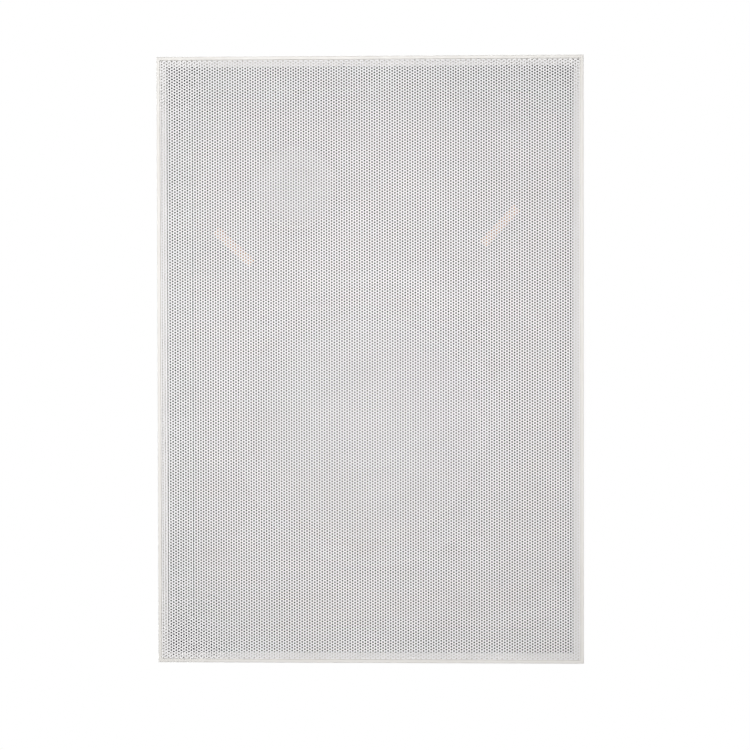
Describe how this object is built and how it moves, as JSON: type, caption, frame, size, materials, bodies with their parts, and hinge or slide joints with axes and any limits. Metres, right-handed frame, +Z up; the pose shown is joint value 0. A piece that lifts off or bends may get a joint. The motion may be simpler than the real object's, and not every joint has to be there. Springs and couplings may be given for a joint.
{
  "type": "in-wall loudspeaker",
  "caption": "Rectangular two-way in-wall loudspeaker with a slim white rim, a flush magnetic perforated grille and swing-out clamps that grip the wall board.",
  "frame": {"origin": "middle of the wall cut-out, on the wall's face, which the back of the flange touches", "axes": "+Z up, +X to the right as seen from the room, +Y into the wall"},
  "size_m": [0.22, 0.082, 0.313],
  "materials": {
    "frame_white": "satin moulded",
    "grille_white": "matt powder coat",
    "baffle_black": "fine moulded texture",
    "pad_orange": "matt",
    "magnet_black": "black epoxy coat",
    "magnet_nickel": "nickel plated",
    "cone_gray": "pressed fibre, pearl coat",
    "surround_rubber": "matt",
    "gasket_foam": "matt",
    "basket_black": "satin paint",
    "spider_cloth": "pleated cloth",
    "former_foil": "rolled foil",
    "copper_wire": "enamelled copper",
    "plate_steel": "zinc plated",
    "ferrite": "ground ferrite",
    "tweeter_silver": "satin moulded",
    "dome_silk": "coated silk",
    "ring_black": "moulded",
    "tag_board": "laminate with tinned tags",
    "circuit_green": "solder mask",
    "capacitor_film": "wrapped film",
    "resistor_cement": "cement",
    "terminal_black": "moulded",
    "button_red": "moulded",
    "button_black": "moulded",
    "lead_sleeve": "soft sleeve",
    "screw_black": "black phosphate",
    "screw_zinc": "zinc plated",
    "nut_brass": "turned",
    "clamp_black": "glass-filled nylon"
  },
  "bodies": {
    "speaker": {"frame": "frame_white", "grille_magnets": "magnet_black", "baffle": "baffle_black", "grille_pad_left": "pad_orange", "grille_pad_right": "pad_orange", "woofer_basket": "basket_black", "woofer_surround": "surround_rubber", "woofer_gasket": "gasket_foam", "woofer_spider": "spider_cloth", "woofer_top_plate": "plate_steel", "woofer_magnet": "ferrite", "woofer_back_plate": "plate_steel", "woofer_terminals": "tag_board", "woofer_screws": "screw_black", "tweeter_faceplate": "tweeter_silver", "tweeter_dome": "dome_silk", "tweeter_voice_coil": "copper_wire", "tweeter_pole_plate": "plate_steel", "tweeter_magnet": "magnet_nickel", "tweeter_pot": "plate_steel", "tweeter_lock_ring": "ring_black", "tweeter_terminals": "tag_board", "crossover_board": "circuit_green", "board_screws": "screw_zinc", "woofer_inductor_core": "ferrite", "woofer_inductor_winding": "copper_wire", "tweeter_inductor": "copper_wire", "woofer_capacitor": "capacitor_film", "tweeter_capacitor": "capacitor_film", "tweeter_resistor": "resistor_cement", "terminal_block": "terminal_black", "woofer_leads": "lead_sleeve", "tweeter_leads": "lead_sleeve", "clamp_screws": "screw_black"},
    "grille": {"grille": "grille_white"},
    "cone": {"woofer_cone": "cone_gray", "woofer_dust_cap": "cone_gray", "voice_coil_former": "former_foil", "voice_coil": "copper_wire"},
    "button_red": {"terminal_button_red": "button_red"},
    "button_black": {"terminal_button_black": "button_black"},
    "clamp_nut_1": {"clamp_nut_1": "nut_brass"},
    "clamp_arm_1": {"clamp_arm_1": "clamp_black"},
    "clamp_nut_2": {"clamp_nut_2": "nut_brass"},
    "clamp_arm_2": {"clamp_arm_2": "clamp_black"},
    "clamp_nut_3": {"clamp_nut_3": "nut_brass"},
    "clamp_arm_3": {"clamp_arm_3": "clamp_black"},
    "clamp_nut_4": {"clamp_nut_4": "nut_brass"},
    "clamp_arm_4": {"clamp_arm_4": "clamp_black"}
  },
  "joints": [
    {"name": "grille_pull", "type": "slide", "parent": "speaker", "child": "grille", "axis": [0, -1, 0], "range_m": [0, 0.06]},
    {"name": "cone_travel", "type": "slide", "parent": "speaker", "child": "cone", "axis": [0, -1, 0], "range_m": [-0.004, 0.004], "stiffness_N_per_m": 1400, "deforming": ["woofer_surround", "woofer_spider"]},
    {"name": "button_red_press", "type": "slide", "parent": "speaker", "child": "button_red", "axis": [0, -1, 0], "range_m": [0, 0.0035], "stiffness_N_per_m": 400},
    {"name": "button_black_press", "type": "slide", "parent": "speaker", "child": "button_black", "axis": [0, -1, 0], "range_m": [0, 0.0035], "stiffness_N_per_m": 400},
    {"name": "clamp_travel_1", "type": "slide", "parent": "speaker", "child": "clamp_nut_1", "axis": [0, -1, 0], "range_m": [0, 0.03]},
    {"name": "clamp_swing_1", "type": "hinge", "parent": "clamp_nut_1", "child": "clamp_arm_1", "pos_m": [0.0833, 0.048, 0.1268], "axis": [0, -1, 0], "range_deg": [0, 90]},
    {"name": "clamp_travel_2", "type": "slide", "parent": "speaker", "child": "clamp_nut_2", "axis": [0, -1, 0], "range_m": [0, 0.03]},
    {"name": "clamp_swing_2", "type": "hinge", "parent": "clamp_nut_2", "child": "clamp_arm_2", "pos_m": [-0.0833, 0.048, 0.1268], "axis": [0, 1, 0], "range_deg": [0, 90]},
    {"name": "clamp_travel_3", "type": "slide", "parent": "speaker", "child": "clamp_nut_3", "axis": [0, -1, 0], "range_m": [0, 0.03]},
    {"name": "clamp_swing_3", "type": "hinge", "parent": "clamp_nut_3", "child": "clamp_arm_3", "pos_m": [-0.0833, 0.048, -0.1268], "axis": [0, -1, 0], "range_deg": [0, 90]},
    {"name": "clamp_travel_4", "type": "slide", "parent": "speaker", "child": "clamp_nut_4", "axis": [0, -1, 0], "range_m": [0, 0.03]},
    {"name": "clamp_swing_4", "type": "hinge", "parent": "clamp_nut_4", "child": "clamp_arm_4", "pos_m": [0.0833, 0.048, -0.1268], "axis": [0, 1, 0], "range_deg": [0, 90]}
  ]
}
